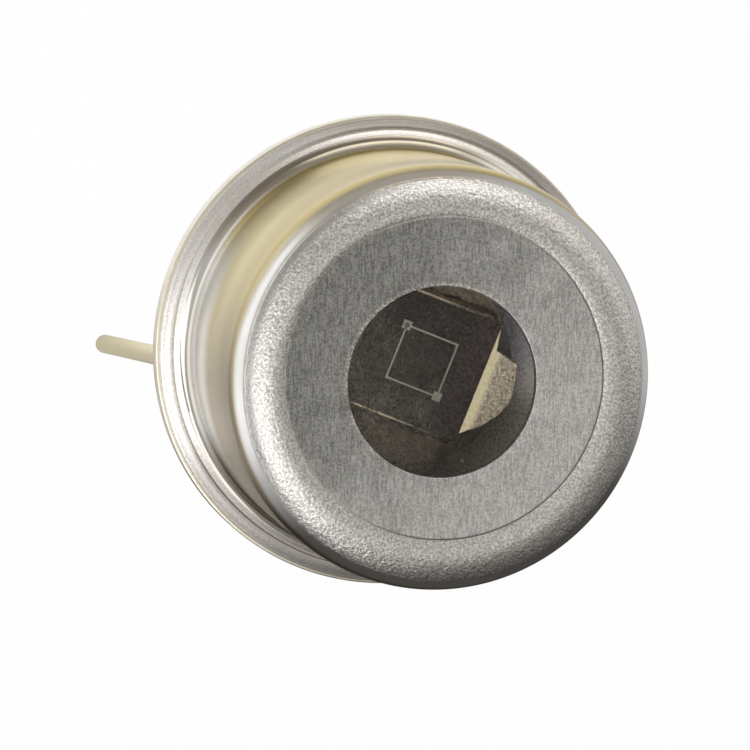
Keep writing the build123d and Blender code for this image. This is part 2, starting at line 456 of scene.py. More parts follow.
can_rings = [level_ring(r, h, aperture_at, ring_points) for r, h in aperture_section]
face_start = aperture_section[-1]
face_end = shoulder_section[0]
for share in np.linspace(0, 1, 5)[1:-1]:
    centre = [(1 - share) * a + share * f for a, f in zip(aperture_at, face_at)]
    radius = (1 - share) * face_start[0] + share * face_end[0]
    can_rings.append(level_ring(radius, face_height, centre, ring_points))
for radius, height in shoulder_section:
    share = share_within(face_radius + face_fade, face_fade, radius)
    ring = level_ring(radius, height, [share * c for c in face_at], ring_points)
    angle = math.degrees(math.atan2(height - shoulder_centre[1], radius - shoulder_centre[0]))
    amount = 1.0 if radius > face_radius and angle > 90 - peened_arc else 0.0
    can_rings.append(peen(ring, radius, height, amount))
for radius, height in wall_section + foot_section:
    can_rings.append(level_ring(radius, height, points=ring_points))
for radius, height in flange_section:
    share = share_within(flange_end, imprint_fade, radius)
    can_rings.append(level_ring(radius, height, [share * c for c in imprint_at], ring_points))
for radius, height in inner_section:
    can_rings.append(level_ring(radius, height, points=ring_points))
can = loft("can", can_rings, loop=True)
print("can:", len(can_rings), "rings of", ring_points, "points")

# %% [markdown]
# ## Nickel, worn five ways
# The same plated sheet looks different in each place. The face was lapped, so it is a middle
# grey with fine streaks that all run one way. The shoulder was peened and sparkles, down to a
# smooth band. The wall is drawn metal, the foot is a tight smooth round, and the flange is
# softer, painted dark brown at the back as painted shade. Five materials on five groups of faces could do it,
# but their borders would follow the mesh. Here one material holds all five, and masks made
# from radius and height choose between them, as soft or as sharp as they are on the part.

# %% The places and the grains that all of the can's finishes share


class Nickel(Paint):
    """The can's paint, which knows where a point is and carries the sheet's own unevenness."""

    def __init__(self, name):
        super().__init__(name)
        self.at = self.place()
        self.x, self.y, self.z = self.parts(self.at)
        self.from_axis = self.off_axis(self.at)
        self.from_face = self.off_axis(self.at, face_at)
        self.from_imprint = self.off_axis(self.at, imprint_at)
        self.cloud = self.speckle(self.at, 1.3, 3.0)
        self.spots = self.speckle(self.at, 21.0, 3.0, 0.75)
        self.draw_lines = self.speckle(self.stretch(self.at, (1.0, 1.0, 14.0)), 2.0, 3.0, 0.6)
        streaks = self.speckle(self.stretch(self.at, (30.0, 3.0, 1.0), 15.0), 1.0, 4.0, 0.7)
        self.grain = 0.45 * streaks + 0.55 * self.speckle(self.at, 24.0, 3.0, 0.8)


# %% Masks: where each finish lies
bead_foot = shoulder_centre[1] + shoulder_round * math.cos(math.radians(peened_arc))
print(f"the peened band ends {crest_height - bead_foot:.2f} mm below the crest")


def on_face(nickel):
    inside = nickel.from_face.fall(face_radius - 0.02, face_radius)
    return inside * nickel.z.rise(face_height - 0.2, face_height - 0.1)


def on_bead(nickel):
    """The peened band; its foot is a sharp line round the shoulder."""
    return nickel.z.rise(bead_foot - 0.02, bead_foot + 0.02)


def on_wall(nickel):
    """The wall, up to the shoulder's smooth band, which reaches lower at the back."""
    outside = nickel.from_axis.rise(wall_radius - 0.15, wall_radius - 0.08)
    height = nickel.z - 0.15 * nickel.y.rise(1.5, 3.8)
    return outside * height.fall(crest_height - 0.60, crest_height - 0.42)


def on_flange(nickel):
    outside = nickel.from_imprint.rise(imprint_start - 0.01, imprint_start + 0.02)
    return outside * nickel.z.fall(1.0, 1.2)


def on_foot(nickel):
    return nickel.z.fall(flange_top + 0.08, flange_top + 0.30)


# %% [markdown]
# ### The lapped face
# Lapping leaves a grey made of countless fine scratches. The face is painted brighter at one
# side and darker at the other, as painted light and shade. Round the aperture the punch left a
# thin bright burr, worn away in places, and the crease outside the face is painted dark on one side as
# painted shade.

# %% The face's tone


def lapped_face(nickel):
    grain = nickel.grain.rise(0.38, 0.62)
    # Painted light and shade: the face is lighter towards one side and darker towards the other.
    painted_light_side = (0.08 * nickel.x - 0.095 * nickel.y + 0.5 * (nickel.cloud - 0.5)).rise(-0.35, 0.35)
    shaded_grey = nickel.mix(grain, (0.17, 0.17, 0.16), (0.44, 0.44, 0.43))
    bright = nickel.mix(grain, (0.44, 0.44, 0.43), (0.86, 0.86, 0.85))
    tone = nickel.mix(painted_light_side, shaded_grey, bright)
    from_aperture = nickel.off_axis(nickel.at, aperture_at)
    burr = from_aperture.fall(aperture_radius + 0.02, aperture_radius + 0.11)
    burr *= nickel.spots.rise(0.46, 0.60)
    left_whole = (0.35 * nickel.y - 0.15 * nickel.x + 3.0 * (nickel.cloud - 0.5)).rise(-0.3, 0.5)
    tone = nickel.mix(burr * left_whole, tone, (0.98, 0.97, 0.92))
    # Painted shade: the crease just outside the face is darkened on one side.
    crease_shade = nickel.from_face.rise(face_radius - 0.060, face_radius - 0.03)
    crease_shade *= (nickel.x - nickel.y).rise(-1.0, 2.0)
    return nickel.mix(crease_shade * 0.8, tone, (0.14, 0.135, 0.13))


# %% [markdown]
# ### The peened shoulder and the smooth metal beside it
# The dents are in the mesh. The paint only adds that some spots are duller than others, and
# a painted dark reflection in ragged spots along the band's foot at one side. Below it the
# nickel is smooth and nearly white, painted browner at the back as a painted dark reflection.

# %% The shoulder's tones


def peened_shoulder(nickel):
    tone = nickel.mix(nickel.spots.rise(0.35, 0.65), (0.50, 0.48, 0.46), (0.97, 0.95, 0.92))
    # Painted dark reflection: ragged dark spots along the peened band's foot, on one side.
    low_edge = on_bead(nickel) * nickel.z.fall(bead_foot + 0.05, bead_foot + 0.13)
    one_side = (0.6 * nickel.y - 0.8 * nickel.x).rise(1.5, 3.0)
    painted_dark_spots = low_edge * one_side * nickel.spots.rise(0.40, 0.55)
    return nickel.mix(painted_dark_spots * 0.7, tone, (0.30, 0.28, 0.27))


def plain_nickel(nickel):
    tone = nickel.mix(nickel.cloud.rise(0.3, 0.7), (0.90, 0.885, 0.86), (0.97, 0.96, 0.94))
    # Painted dark reflection: the smooth band is browner towards the back.
    return nickel.mix(nickel.y.rise(2.9, 3.8) * 0.7, tone, (0.62, 0.52, 0.40))


# %% [markdown]
# ### The wall
# Seen head-on the wall is plain warm nickel with faint lines from drawing. Seen at a slant,
# past the shoulder, it is painted khaki as a painted reflection of a warm room, lighter at the
# back and deeper in front as painted light and shade, and near white where it stands lowest at
# the left as a painted glare. A tint that depends on the view needs the Layer Weight
# node, which tells how slanted the view is and keeps the khaki out of the can's side views.

# %% The wall's tone


def drawn_wall(nickel):
    lines = nickel.draw_lines.rise(0.35, 0.65)
    # Painted reflection of a warm room: a lit khaki copy for the back and a deep shaded copy for the front,
    # each graded with height, as painted light and shade.
    light = nickel.mix(lines, (0.92, 0.78, 0.34), (0.99, 0.88, 0.46))
    light = nickel.mix(nickel.z.rise(3.3, 4.6), light, (0.56, 0.43, 0.12))
    deep = nickel.mix(lines, (0.18, 0.11, 0.01), (0.25, 0.16, 0.02))
    deep = nickel.mix(nickel.z.rise(3.7, 5.0), deep, (0.31, 0.23, 0.11))
    painted_reflection = nickel.mix(nickel.y.rise(0.3, 3.6), deep, light)
    # Painted glare: near white where the wall stands lowest at the left.
    painted_glare = nickel.z.fall(1.9, 2.9) * (0.3 * nickel.y - 0.95 * nickel.x).rise(3.1, 3.75)
    painted_reflection = nickel.mix(painted_glare, painted_reflection, (0.96, 0.95, 0.93))
    slant = nickel.node("ShaderNodeLayerWeight", None, {"Blend": 0.5}, "Facing").rise(0.35, 0.72)
    head_on = nickel.mix(lines, (0.60, 0.55, 0.44), (0.72, 0.67, 0.55))
    return nickel.mix(slant, head_on, painted_reflection)


# %% [markdown]
# ### The flange and the foot
# The flange is pressed against the header while a current welds it, which leaves a stepped
# ring. Outside the ring at the back the metal is painted dark brown as painted shade, and low
# at the left it is darker and browner. The foot is painted dark at the back as painted shade
# too, darker and browner low at the left, and has a dull band where it meets the step.

# %% The flange's and the foot's tones


def low_left(nickel):
    return nickel.y.fall(-1.6, -0.2) * nickel.x.fall(-2.0, -0.5)


def welded_flange(nickel):
    tone = nickel.mix(nickel.spots.rise(0.3, 0.7), (0.74, 0.71, 0.68), (0.94, 0.92, 0.89))
    # Painted shade: dark brown outside the step at the back; darker and browner low at the left too.
    painted_flange_shade = (0.5 * nickel.x + 0.87 * nickel.y).rise(2.6, 4.3) * 0.80
    painted_flange_shade *= nickel.from_imprint.rise(imprint_start + 0.11, imprint_start + 0.15)
    return nickel.mix(painted_flange_shade.most(0.55 * low_left(nickel)), tone, (0.22, 0.19, 0.17))


def shaded_foot(nickel, plain):
    # Painted shade at the back, joined with the darker, browner tone low at the left.
    stained = (nickel.y.rise(2.5, 3.8) * 0.9).most(0.5 * low_left(nickel))
    tone = nickel.mix(stained, plain, (0.36, 0.31, 0.24))
    banded = nickel.from_axis.rise(wall_radius + 0.07, wall_radius + 0.12) * nickel.y.fall(1.0, 3.0)
    return nickel.mix(banded * 0.7, tone, (0.46, 0.43, 0.39))


# %% [markdown]
# ### The five together
# Each finish is laid over the one before it with its mask as the share, so where two of
# them overlap the later one wins: the flange over the foot, and the face over everything.
# The masks also set the gloss and the depth of the bump, and the face is the roughest.

# %% The can's nickel


def can_nickel():
    nickel = Nickel("can_nickel")
    face = on_face(nickel)
    bead = (1 - face) * on_bead(nickel)
    wall = on_wall(nickel)
    flange = on_flange(nickel)
    foot = on_foot(nickel) * (1 - flange)

    plain = plain_nickel(nickel)
    tone = nickel.mix(bead, plain, peened_shoulder(nickel))
    tone = nickel.mix(wall, tone, drawn_wall(nickel))
    tone = nickel.mix(foot * 0.8, tone, shaded_foot(nickel, plain))
    tone = nickel.mix(flange, tone, welded_flange(nickel))
    tone = nickel.mix(face, tone, lapped_face(nickel))

    rough = 0.17 + 0.20 * face + 0.14 * flange + 0.07 * bead + 0.02 * wall
    rough += 0.12 * (nickel.spots - 0.5) * (1 - wall)
    height = face * nickel.grain + (1 - face) * nickel.spots
    depth_share = face * 0.6 + bead + flange * 0.5 + 0.02
    return nickel.finish(nickel.surface({
        "Base Color": tone,
        "Metallic": 1 - 0.15 * flange,
        "Roughness": rough,
        "Normal": nickel.relief(height * depth_share.least(1.0), 0.013),
    }))


dress(can, can_nickel(), "nickel_can", "cap")

# %% [markdown]
# ## The header
# Under the can lies the header: a gold-plated stamping with a thin rim, a raised platform
# that carries the chip, a hollow underneath and an index tab that marks the anode lead.
# A disc joined to a box by a Boolean would leave the tab's corners sharp. Instead the rim's
# outline with its tab is drawn once, and inset a little for each ring of the edge breaks.

# %% The header's sizes
rim_radius = high("header").x
platform_height = high("header").z
rim_thickness = 0.40
platform_radius = 3.60
platform_break = 0.10
glass_setback = 0.05
recess_depth = low("anode_bead").z - glass_setback
recess_radius = 3.30
recess_round = 0.06
recess_lip = 0.03
edge_break = 0.05
tab_length = 0.74
tab_width = 0.80
tab_corner = 0.12
tab_azimuth = -45.0
lead_glass_radius = 0.55
head_radius = 0.42
pin_x = low("anode_bead").x + lead_glass_radius
pin_x_case = high("cathode_lead").x - head_radius
print(f"header: rim radius {rim_radius:.2f} mm, platform {platform_height:.2f} mm, pins at {pin_x:.2f}")

# %% The rim's outline, with the index tab


def rim_outline(inset, arc_points=640):
    """Outline points in millimetres, from one side of the tab round to the other and over it."""
    radius = rim_radius - inset
    half = tab_width / 2 - inset
    reach = rim_radius + tab_length - inset
    corner = tab_corner - inset / 2
    start = math.asin(half / radius)
    turn = np.linspace(start, 2 * math.pi - start, arc_points)
    points = [(radius * math.cos(a), radius * math.sin(a)) for a in turn]
    side_start = (radius * math.cos(start), -half)
    points += straight(side_start, (reach - corner, -half), 6)
    points += round_over((reach - corner, -half + corner), corner, -90, 0, 6)
    points += straight((reach, -half + corner), (reach, half - corner), 6)
    points += round_over((reach - corner, half - corner), corner, 0, 90, 6)
    points += straight((reach - corner, half), (side_start[0], half), 6)
    return np.array(points)


tab_turn = Matrix.Rotation(math.radians(tab_azimuth), 2)
rim_angles = np.arctan2(rim_outline(0)[:, 1], rim_outline(0)[:, 0]) + math.radians(tab_azimuth)
print("rim outline:", len(rim_angles), "points, tab at", tab_azimuth, "degrees")


def rim_ring(inset, height):
    """The rim's outline as a ring at a height."""
    flat = rim_outline(inset) @ np.array(tab_turn).T
    return np.column_stack([flat, np.full(len(flat), height)]) * mm


def header_ring(radius, height):
    """A circle whose points stand opposite the outline's own points."""
    flat = np.column_stack([np.cos(rim_angles), np.sin(rim_angles)]) * radius
    return np.column_stack([flat, np.full(len(flat), height)]) * mm


# %% Build the header
header_plate = loft("header_plate", [
    [(0.0, 0.0, recess_depth * mm)],
    header_ring(recess_radius - recess_round, recess_depth),
    header_ring(recess_radius - recess_round / 3, recess_depth - recess_round / 3),
    header_ring(recess_radius, recess_depth - recess_round),
    header_ring(recess_radius, recess_lip),
    header_ring(recess_radius + recess_lip, 0.0),
    rim_ring(edge_break, 0.0),
    rim_ring(edge_break * 0.3, edge_break * 0.3),
    rim_ring(0.0, edge_break),
    rim_ring(0.0, rim_thickness - edge_break),
    rim_ring(edge_break * 0.3, rim_thickness - edge_break * 0.3),
    rim_ring(edge_break, rim_thickness),
    header_ring(platform_radius, rim_thickness),
    header_ring(platform_radius, platform_height - platform_break),
    header_ring(platform_radius - platform_break * 0.3, platform_height - platform_break * 0.3),
    header_ring(platform_radius - platform_break, platform_height),
    [(0.0, 0.0, platform_height * mm)],
])
print("header_plate:", len(header_plate.data.polygons), "faces before it is bored")

# %% [markdown]
# ## A hole for glass
# The anode lead must not touch the metal, so it passes through a bead of glass in a punched
# hole. The hole isn't on the header's axis, so it isn't one more ring of the loft: a Boolean
# modifier cuts it. The cut leaves its own shading behind, so the sharp edges are marked anew.

# %% Bore the header


def bore(piece, centre, radius, bottom, top):
    """Cuts a round hole through a piece."""
    cutter = loft("cutter", [
        [(centre * mm, 0.0, bottom * mm)],
        level_ring(radius, bottom, (centre, 0.0), 96),
        level_ring(radius, top, (centre, 0.0), 96),
        [(centre * mm, 0.0, top * mm)],
    ])
    cut = piece.modifiers.new("bore", "BOOLEAN")
    cut.operation = "DIFFERENCE"
    cut.solver = "EXACT"
    cut.object = cutter
    evaluated = piece.evaluated_get(bpy.context.evaluated_depsgraph_get())
    mesh = bpy.data.meshes.new_from_object(evaluated)
    soften(mesh)
    piece.modifiers.clear()
    piece.data = mesh
    bpy.data.objects.remove(cutter)


bead_radius = high("anode_bead").y
bore(header_plate, pin_x, bead_radius, 0.0, platform_height + 1.0)
print("header_plate:", len(header_plate.data.polygons), "faces once bored")

# %% [markdown]
# ## Gold plate
# The header and the leads are an iron-nickel alloy under a thin layer of gold. Gold's
# colour lives in its reflections, so the base colour does the work and the metal is fully
# metallic. The stamping's grain shows through the plating as a slightly uneven gloss.
# Under the can the weld's heat has stained the plating, violet on one half and brown on the
# other; the stain is a film on the gold, so it also takes away some of the metal's shine.

# %% The gold


def gold_plate(name, light, deep, rough=0.30, streak=(1.0, 1.0, 1.0), stained_above=None):
    """Gold plate in two tones; above `stained_above`, in millimetres, heat has stained it."""
    paint = Paint(name)
    place = paint.place()
    cloud = paint.speckle(place, 1.7, 3.0)
    grain = paint.speckle(paint.stretch(place, streak), 18.0, 4.0, 0.65)
    tone = paint.mix(cloud.rise(0.3, 0.7), deep, light)
    tone = paint.mix(grain.rise(0.55, 0.8) * 0.3, tone, (0.52, 0.42, 0.27))
    metallic = 1.0
    if stained_above is not None:
        _, y, z = paint.parts(place)
        brown = paint.mix(grain.rise(0.35, 0.65), (0.56, 0.50, 0.46), (0.97, 0.90, 0.85))
        violet = paint.mix(grain.rise(0.35, 0.65), (0.60, 0.56, 0.66), (0.97, 0.92, 1.00))
        stained = z.rise(stained_above - 0.3, stained_above)
        tone = paint.mix(stained, tone, paint.mix(y.rise(-1.4, -0.4), brown, violet))
        metallic = 1 - 0.35 * stained
    return paint.finish(paint.surface({
        "Base Color": tone,
        "Metallic": metallic,
        "Roughness": rough + 0.16 * (grain - 0.5),
        "Normal": paint.relief(grain, 0.004),
    }))


header_gold = gold_plate(
    "header_gold", (0.94, 0.90, 0.78), (0.86, 0.80, 0.65), stained_above=platform_height - 0.1
)
dress(header_plate, header_gold, "gold_plate", "header")

# %% [markdown]
# ## The leads
# Each lead is drawn wire. The anode's runs straight up through its glass and ends in a flat
# head under the bond wire; below the seat it leans outwards. The case lead hangs from a flat
# head brazed inside the hollow. A curve with a bevel would make the wire but not the heads
# and the rounded tips, where the radius changes. So both are lofted along their centre
# lines, with a radius for each point; each line lies in a plane, which keeps the rings true.

# %% Loft a wire along a plane path
lead_radius = 0.205
lead_tip_round = 0.12
print(f"lead wire: {2 * lead_radius:.2f} mm thick")


def wire(name, path, radii, side, points=40):
    """A round wire along `path`, whose plane is square to `side`. All in millimetres."""
    path = [Vector(p) for p in path]
    side = Vector(side).normalized()
    rings = []
    for i, (centre, radius) in enumerate(zip(path, radii)):
        ahead = (path[min(i + 1, len(path) - 1)] - path[max(i - 1, 0)]).normalized()
        across = side.cross(ahead).normalized()
        if radius == 0:
            rings.append([centre * mm])
            continue
        turn = [2 * math.pi * k / points for k in range(points)]
        rings.append([(centre + radius * (math.cos(a) * across + math.sin(a) * side)) * mm for a in turn])
    return loft(name, rings)


def tip_round(end, ahead, radius, steps=6):
    """Centres and radii that round off a wire's cut end."""
    centres = []
    radii = []
    for k in range(1, steps + 1):
        angle = math.pi / 2 * k / steps
        centres.append(end + ahead * lead_tip_round * math.sin(angle))
        radii.append(radius - lead_tip_round * (1 - math.cos(angle)))
    return centres + [centres[-1]], radii + [0]


# %% The anode lead's bend
bend_drop = 1.10
bend_radius = 1.60
splay = math.radians(6.4)
lean = toward(193.0)
down = Vector((0.0, 0.0, -1.0))
slope = lean * math.sin(splay) + down * math.cos(splay)
pin_top = Vector((pin_x, 0.0, 0.0))


def on_bend(angle):
    """The point of the bend at which the wire leans by `angle`, in radians."""
    drop = bend_drop + bend_radius * math.sin(angle)
    return pin_top + down * drop + lean * bend_radius * (1 - math.cos(angle))


print(f"the anode lead leans by {math.degrees(splay):.1f} degrees, {bend_drop:.1f} mm below the seat")

# %% The anode lead
post_top = high("anode_lead").z
head_thickness = 0.12
lead_length = -low("cathode_lead").z
splayed_length = lead_length - bend_drop - bend_radius * splay - lead_tip_round

# The post as (height, radius), from the head's middle down to where the bend starts.
post = [
    (post_top, 0),
    (post_top, head_radius - 0.03),
    (post_top - 0.02, head_radius),
    (post_top - head_thickness + 0.02, head_radius),
    (post_top - head_thickness, head_radius - 0.02),
    (post_top - head_thickness - 0.01, lead_radius),
    (0.3, lead_radius),
    (-bend_drop, lead_radius),
]
anode_path = [pin_top + Vector((0, 0, height)) for height, _ in post]
anode_path += [on_bend(splay * share) for share in np.linspace(0, 1, 9)[1:]]
anode_path += [on_bend(splay) + slope * splayed_length * share for share in np.linspace(0, 1, 13)[1:]]
anode_radii = [radius for _, radius in post]
anode_radii += [lead_radius] * (len(anode_path) - len(anode_radii))
tip_centres, tip_radii = tip_round(anode_path[-1], slope, lead_radius)
anode_wire = wire("anode_wire", anode_path + tip_centres, anode_radii + tip_radii, lean.cross(down))
print(f"anode lead: {lead_length:.1f} mm of wire below the seat")

# %% The case lead
case_top = Vector((pin_x_case, 0.0, high("cathode_lead").z))
case_head = 0.20
case_end = lead_length + case_top.z - lead_tip_round

# The lead as (drop, radius), from the head's middle down to where its tip is rounded.
hanger = [
    (0, 0),
    (0, head_radius - 0.02),
    (0.02, head_radius),
    (case_head - 0.03, head_radius),
    (case_head, head_radius - 0.03),
    (case_head + 0.01, lead_radius),
]
hanger += [(drop, lead_radius) for drop in np.linspace(case_head, case_end, 14)[1:]]
case_path = [case_top + down * drop for drop, _ in hanger]
case_radii = [radius for _, radius in hanger]
tip_centres, tip_radii = tip_round(case_path[-1], down, lead_radius)
case_wire = wire("case_wire", case_path + tip_centres, case_radii + tip_radii, (0.0, 1.0, 0.0))
print(f"case lead: hangs from {case_top.z:.2f} mm above the seat")

# %% The leads' gold, drawn out along the wire
lead_gold = gold_plate("lead_gold", (0.98, 0.88, 0.60), (0.95, 0.84, 0.54), 0.36, (1.0, 1.0, 0.05))
dress(anode_wire, lead_gold, "gold_plate", "anode_lead")
dress(case_wire, lead_gold, "gold_plate", "cathode_lead")

# %% [markdown]
# ## Glass: the lead seal and the window's frit
# Sealing glass is fused in place. Surface tension pulls it up the metal on both sides, so
# its face is a shallow dish, a meniscus, and it is dark and glossy with a few bubbles.
# Twelve rings on a parabola give the dish. The bubbles are far too small to model; they are
# spots of cell noise, paler and a little duller than the glass.

# %% The glass round the anode lead
meniscus = 0.045


def dish(radius):
    """How far the glass stands above its lowest place, in millimetres."""
    middle = (bead_radius + lead_radius) / 2
    return meniscus * ((radius - middle) / (bead_radius - middle)) ** 2


glass_bottom = low("anode_bead").z + meniscus
glass_top = high("anode_bead").z - meniscus
glass_radii = np.linspace(lead_radius, bead_radius, 12)
glass_rings = [level_ring(r, glass_bottom - dish(r), (pin_x, 0.0), 96) for r in glass_radii]
glass_rings += [level_ring(r, glass_top + dish(r), (pin_x, 0.0), 96) for r in glass_radii[::-1]]
lead_glass = loft("lead_glass", glass_rings, loop=True)
print(f"lead glass: {glass_top - glass_bottom:.2f} mm through at its thinnest")

# %% Sealing glass


def seal_glass():
    paint = Paint("seal_glass")
    place = paint.place()
    bubbles = paint.cells(place, 9.0).fall(0.10, 0.16)
    cloud = paint.speckle(place, 3.0, 3.0)
    tone = paint.mix(cloud.rise(0.3, 0.7), (0.035, 0.045, 0.04), (0.075, 0.09, 0.08))
    tone = paint.mix(bubbles * 0.6, tone, (0.25, 0.27, 0.24))
    return paint.finish(paint.surface({
        "Base Color": tone,
        "Roughness": 0.10 + 0.2 * bubbles,
        "Coat Weight": 0.6,
        "Normal": paint.relief(cloud - 0.3 * bubbles, 0.02),
    }))


glass_paint = seal_glass()
dress(lead_glass, glass_paint, "seal_glass", "anode_bead")

# %% [markdown]
# ## The chip's stack
# Through the window one sees a nearly black square chip with a thin contact ring. It stands
# on a round gold-plated pedestal, on solder that has crept out further on one side and climbs
# the chip's flanks. The solder is lofted round the chip's outline, with its foot wandering a
# little, because a straight machined edge would look nothing like solder. Beside the chip
# more of it has frozen as a flat bright pool, a piece of its own with an outline given as corners.

# %% The pedestal
pedestal_low = low("pedestal").z
pedestal_high = high("pedestal").z
pedestal_radius = high("pedestal").x
pedestal_block = loft("pedestal_block", [
    [(0.0, 0.0, pedestal_low * mm)],
    level_ring(pedestal_radius - 0.02, pedestal_low),
    level_ring(pedestal_radius, pedestal_low + 0.02),
    level_ring(pedestal_radius, pedestal_high - 0.05),
    level_ring(pedestal_radius - 0.015, pedestal_high - 0.015),
    level_ring(pedestal_radius - 0.05, pedestal_high),
    [(0.0, 0.0, pedestal_high * mm)],
])
print(f"pedestal: {2 * pedestal_radius:.2f} mm across, {pedestal_high - pedestal_low:.2f} mm high")

# %% The solder under the chip
chip_low = low("chip")
chip_high = high("chip")
chip_middle = Vector(((chip_low.x + chip_high.x) / 2, (chip_low.y + chip_high.y) / 2, 0.0))
chip_side = 2.40
chip_turn = -36.6
solder_skew = 3.0
solder_spread = 0.16
solder_wander = 0.16


def square_ring(side, height, turn, points=320, wander=0.0, reach=None):
    """A square outline round the chip's middle, in metres, kept within `reach` of the axis."""
    ring = []
    for k in range(points):
        run = 4.0 * k / points
        edge = int(run)
        along = (run - edge - 0.5) * side
        spin = Matrix.Rotation(math.radians(turn + 90 * edge), 3, "Z")
        point = spin @ Vector((side / 2, along, 0.0))
        spread = wander * noise.noise(point * 3.1 + Vector((7.0, 3.0, 0.0)))
        spread += 0.4 * wander * noise.noise(point * 11.0)
        point = chip_middle + point * (1 + spread / side)
        if reach is not None and point.length > reach:
            point *= reach / point.length
        ring.append(Vector((point.x, point.y, height)) * mm)
    return ring


solder_rings = [[Vector((chip_middle.x, chip_middle.y, pedestal_high)) * mm]]
solder_top = high("die_attach").z
solder_reach = pedestal_radius - 0.055
for share in (0.0, 0.08, 0.25, 0.45, 0.65, 0.85, 1.0):
    side = chip_side + 2 * solder_spread * (1 - share)
    lift = (solder_top - pedestal_high) * (0.06 + 0.94 * share ** 1.7) if share else 0.0
    turn = chip_turn + solder_skew * (1 - share)
    wander = solder_wander * (1 - share)
    solder_rings.append(square_ring(side, pedestal_high + lift, turn, wander=wander, reach=solder_reach))
solder_rings.insert(-1, square_ring(chip_side + 0.09, solder_top - 0.002, chip_turn))
solder_rings.append(square_ring(chip_side, chip_low.z, chip_turn))
solder_rings.append([Vector((chip_middle.x, chip_middle.y, chip_low.z)) * mm])
die_solder = loft("die_solder", solder_rings, sharp=50.0)
print(f"solder: climbs {solder_top - chip_low.z:.3f} mm up the chip's flanks")

# %% [markdown]
# ### The pool beside the chip
# Its face climbs away from the chip, as a puddle does when it freezes against a cold rim,
# and it mirrors the ceiling as one bright patch. Sculpting would do, but can't be written
# down. Here the outline is a short list of corners, drawn in ring by ring to one point,
# and a function gives the height at each place.

# %% The face of the solder that pooled beside the chip
# The corners are (away from the chip's middle, along its side), in millimetres.
pool_corners = [(1.205, 1.18), (1.235, 0.95), (1.28, 0.74), (1.60, 0.66), (1.98, 0.56), (1.97, 0.25),
                (1.90, -0.10), (1.76, -0.45), (1.52, -0.80), (1.215, -1.08)]
pool_height = 3.01
pool_slope = math.tan(math.radians(14.0))
pool_start = chip_side / 2 - 0.01
pool_middle = (pool_start + 0.2, 0.1)
pool_reach = pedestal_radius - 0.03
ripple = 0.004
wobble = 0.015
print(f"solder pool: {len(pool_corners)} corners, within {pool_reach:.2f} mm of the axis")


def pool_point(across, along, depth):
    """A point of the pool's face, `depth` below it, from its place beside the chip."""
    turn = math.radians(chip_turn)
    out = Matrix.Rotation(turn, 3, "Z") @ Vector((across, along, 0.0)) + chip_middle
    height = pool_height + pool_slope * (across - chip_side / 2)
    height += ripple * noise.noise(Vector((across, along, 0.0)) * 9.0)
    if out.length > pool_reach:
        out *= pool_reach / out.length
    return Vector((out.x, out.y, max(height - depth, pedestal_high))) * mm


# %% The pool's outline and its mesh


def pool_outline(share, depth):
    """The pool's outline, drawn in towards its middle: 1 is the whole outline, 0 a point."""
    ring = []
    for near, far in zip(pool_corners, pool_corners[1:]):
        for step in np.linspace(0, 1, 14)[:-1]:
            across = near[0] + (far[0] - near[0]) * step
            along = near[1] + (far[1] - near[1]) * step
            across += wobble * noise.noise(Vector((across, along, 5.0)) * 7.0)
            ring.append((across, along))
    ring.append(pool_corners[-1])
    for step in np.linspace(0, 1, 30):
        ring.append((pool_start, pool_corners[-1][1] + (pool_corners[0][1] - pool_corners[-1][1]) * step))
    points = []
    for across, along in ring:
        across = pool_middle[0] + (across - pool_middle[0]) * share
        along = pool_middle[1] + (along - pool_middle[1]) * share
        points.append(pool_point(across, along, depth))
    return points


all_the_way_down = 9.0
pool_rings = [[pool_point(*pool_middle, 0.0)]]
pool_rings += [pool_outline(share, 0.0) for share in np.linspace(0.06, 0.97, 24)]
pool_rings += [pool_outline(1.0, 0.02), pool_outline(1.0, all_the_way_down)]
pool_rings.append([Vector((1.12, -0.70, pedestal_high)) * mm])
solder_pool = loft("solder_pool", pool_rings, sharp=50.0)
print(f"solder pool: its face rises from {pool_height:.2f} mm at the chip's side")

# %% [markdown]
# ## Gold and solder under the chip
# Round the chip the gold is painted brown and clouded as painted shade, with a painted lit
# patch and painted glints on one side and a painted dark violet reflection in one corner. The
# solder is painted pale along the chip's side towards the pool as a painted highlight, dark on
# the other sides as painted shade with painted bright spots, and finely frosted out in the
# pool. A picture painted by hand could hold all this. But these borders run along the chip's
# own sides, so a formula is shorter: it measures places from the chip's middle, turned as the
# chip is.

# %% Places measured from the chip
print(f"the chip's sides are turned by {chip_turn} degrees")


def beside_chip(paint, place):
    """How far a point lies from the chip's middle, along the chip's two sides."""
    settings = {"operation": "SUBTRACT"}
    from_chip = paint.node("ShaderNodeVectorMath", settings, {0: place, 1: tuple(chip_middle)})
    across, along, _ = paint.parts(paint.stretch(from_chip, (1.0, 1.0, 1.0), -chip_turn))
    return across, along


# %% The pedestal's gold


